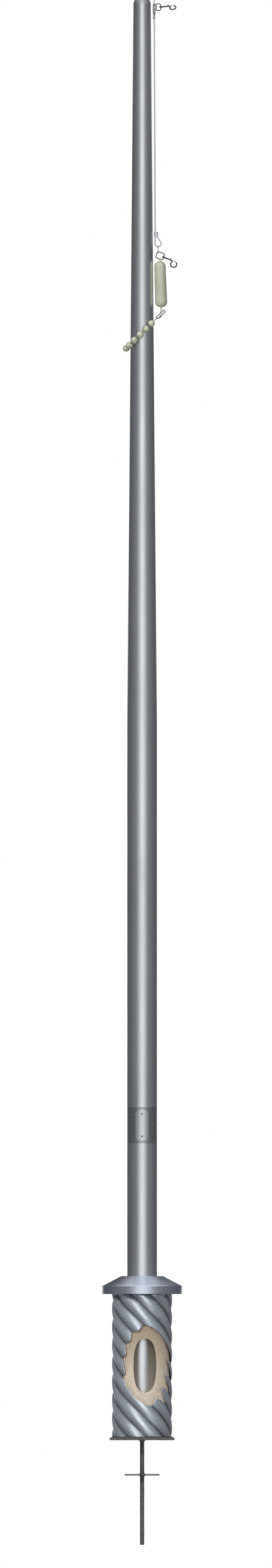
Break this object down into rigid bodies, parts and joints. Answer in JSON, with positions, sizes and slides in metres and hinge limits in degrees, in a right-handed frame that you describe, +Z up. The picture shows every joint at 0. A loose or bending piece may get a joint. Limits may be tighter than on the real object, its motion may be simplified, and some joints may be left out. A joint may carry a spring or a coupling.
{
  "type": "flagpole",
  "caption": "Tapered flagpole with revolving truck, ball finial, weighted halyard with swivel snaps, retainer bead ring, access door, flash collar and corrugated ground sleeve.",
  "frame": {"origin": "the pole's axis at ground level, in the plane of the flash collar's lower rim", "axes": "+Z up along the pole, -Y towards the side with the access door, +X towards the side the halyard hangs on"},
  "size_m": [0.406, 0.406, 8.176],
  "materials": {
    "shaft_aluminium": "satin, brushed lengthways",
    "door_frame_aluminium": "satin",
    "door_aluminium": "satin",
    "screw_steel": "smooth",
    "collar_aluminium": "spun, satin, blue-grey",
    "galvanised_steel": "hot-dip galvanised, spangled",
    "plate_steel": "dark, matt",
    "sand": "packed dry sand, matt and grainy",
    "cast_aluminium": "satin casting",
    "bronze": "bearing bronze",
    "ball_gold": "gold anodised, glossy",
    "halyard_wire": "vinyl-coated wire rope",
    "clip_steel": "plated",
    "snap_steel": "dark nickel",
    "bolt_steel": "nickel",
    "weight_vinyl": "vinyl-coated, olive beige",
    "link_steel": "bright zinc",
    "bead_nylon": "nylon, greenish beige"
  },
  "bodies": {
    "mast": {"shaft": "shaft_aluminium", "door_frame": "door_frame_aluminium", "door_frame_screws": "screw_steel", "access_door": "door_aluminium", "door_screws": "screw_steel", "flash_collar": "collar_aluminium", "ground_sleeve": "galvanised_steel", "sleeve_base_plate": "plate_steel", "sand_fill": "sand", "ground_spike": "plate_steel", "spike_support_plate": "plate_steel", "truck_socket": "cast_aluminium", "truck_retaining_ring": "bronze"},
    "truck": {"truck_housing": "cast_aluminium", "truck_sheave": "bronze", "sheave_pin": "screw_steel", "finial_stem": "screw_steel", "finial_ball": "ball_gold", "halyard": "halyard_wire", "halyard_clip": "clip_steel", "halyard_ferrule": "clip_steel", "connecting_link": "link_steel", "upper_snap_eye": "snap_steel", "lower_snap_eye": "snap_steel", "counterweight": "weight_vinyl", "weight_strap": "weight_vinyl", "weight_cord": "weight_vinyl", "quick_link": "link_steel", "quick_link_nut": "link_steel", "retainer_beads": "bead_nylon", "retainer_cable": "clip_steel"},
    "upper_snap": {"upper_snap_hook": "snap_steel"},
    "upper_bolt": {"upper_snap_bolt": "bolt_steel"},
    "lower_snap": {"lower_snap_hook": "snap_steel"},
    "lower_bolt": {"lower_snap_bolt": "bolt_steel"}
  },
  "joints": [
    {"name": "truck_turn", "type": "hinge", "parent": "mast", "child": "truck", "pos_m": [0, 0, 6.605], "axis": [0, 0, 1], "continuous": true},
    {"name": "upper_snap_swivel", "type": "hinge", "parent": "truck", "child": "upper_snap", "pos_m": [0.09465, 0, 6.5557], "axis": [0.9957, 0, 0.0924], "continuous": true},
    {"name": "upper_snap_bolt", "type": "slide", "parent": "upper_snap", "child": "upper_bolt", "axis": [-0.9957, 0, -0.0924], "range_m": [0, 0.011], "stiffness_N_per_m": 200, "springref_m": -0.01},
    {"name": "lower_snap_swivel", "type": "hinge", "parent": "truck", "child": "lower_snap", "pos_m": [0.10935, 0, 5.28114], "axis": [0.9311, 0, -0.3649], "continuous": true},
    {"name": "lower_snap_bolt", "type": "slide", "parent": "lower_snap", "child": "lower_bolt", "axis": [-0.9311, 0, 0.3649], "range_m": [0, 0.011], "stiffness_N_per_m": 200, "springref_m": -0.01}
  ]
}
